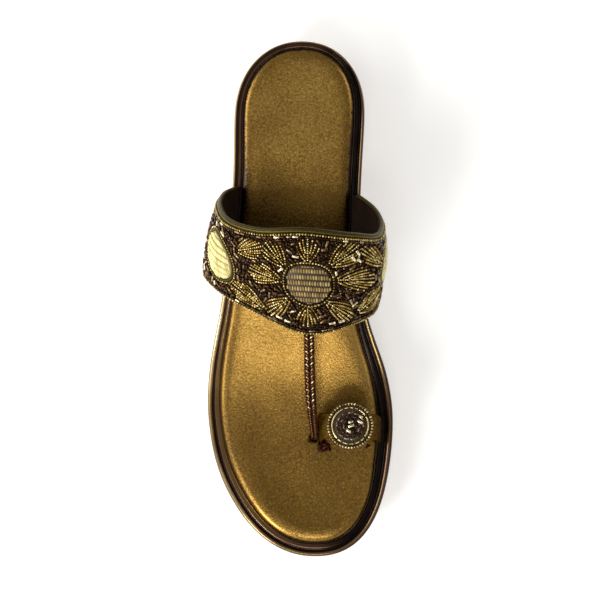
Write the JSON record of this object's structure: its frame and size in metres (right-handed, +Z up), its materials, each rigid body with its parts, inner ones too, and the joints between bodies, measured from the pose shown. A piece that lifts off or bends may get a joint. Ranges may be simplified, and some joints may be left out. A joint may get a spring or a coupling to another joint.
{
  "type": "sandal",
  "caption": "Woman's right-foot T-strap slide sandal on a low moulded wedge, with a beaded vamp, a plaited thong and a big-toe loop under a beaded medallion.",
  "frame": {"origin": "on the floor, under the middle of the sandal's bounding box", "axes": "-Y from heel to toe, +X to the big toe's side, +Z up"},
  "size_m": [0.0918, 0.252, 0.0952],
  "materials": {
    "outsole": "matt moulded",
    "rand": "mirror-gloss bronze patent",
    "footbed": "metallic bronze, fine pebble grain",
    "upper": "close beadwork on metallic cloth",
    "piping": "satin bias binding",
    "toe_loop": "metallic bronze",
    "medallion": "gold seed beads and wire",
    "taupe_thread": "basket-weave thread",
    "cream_thread": "satin-stitch thread"
  },
  "bodies": {
    "root": {"outsole": "outsole", "rand": "rand", "footbed": "footbed", "upper": "upper", "rear_piping": "piping", "toe_loop": "toe_loop", "toe_medallion": "medallion", "centre_oval": "taupe_thread", "lateral_oval": "cream_thread", "medial_oval": "cream_thread"}
  },
  "joints": []
}
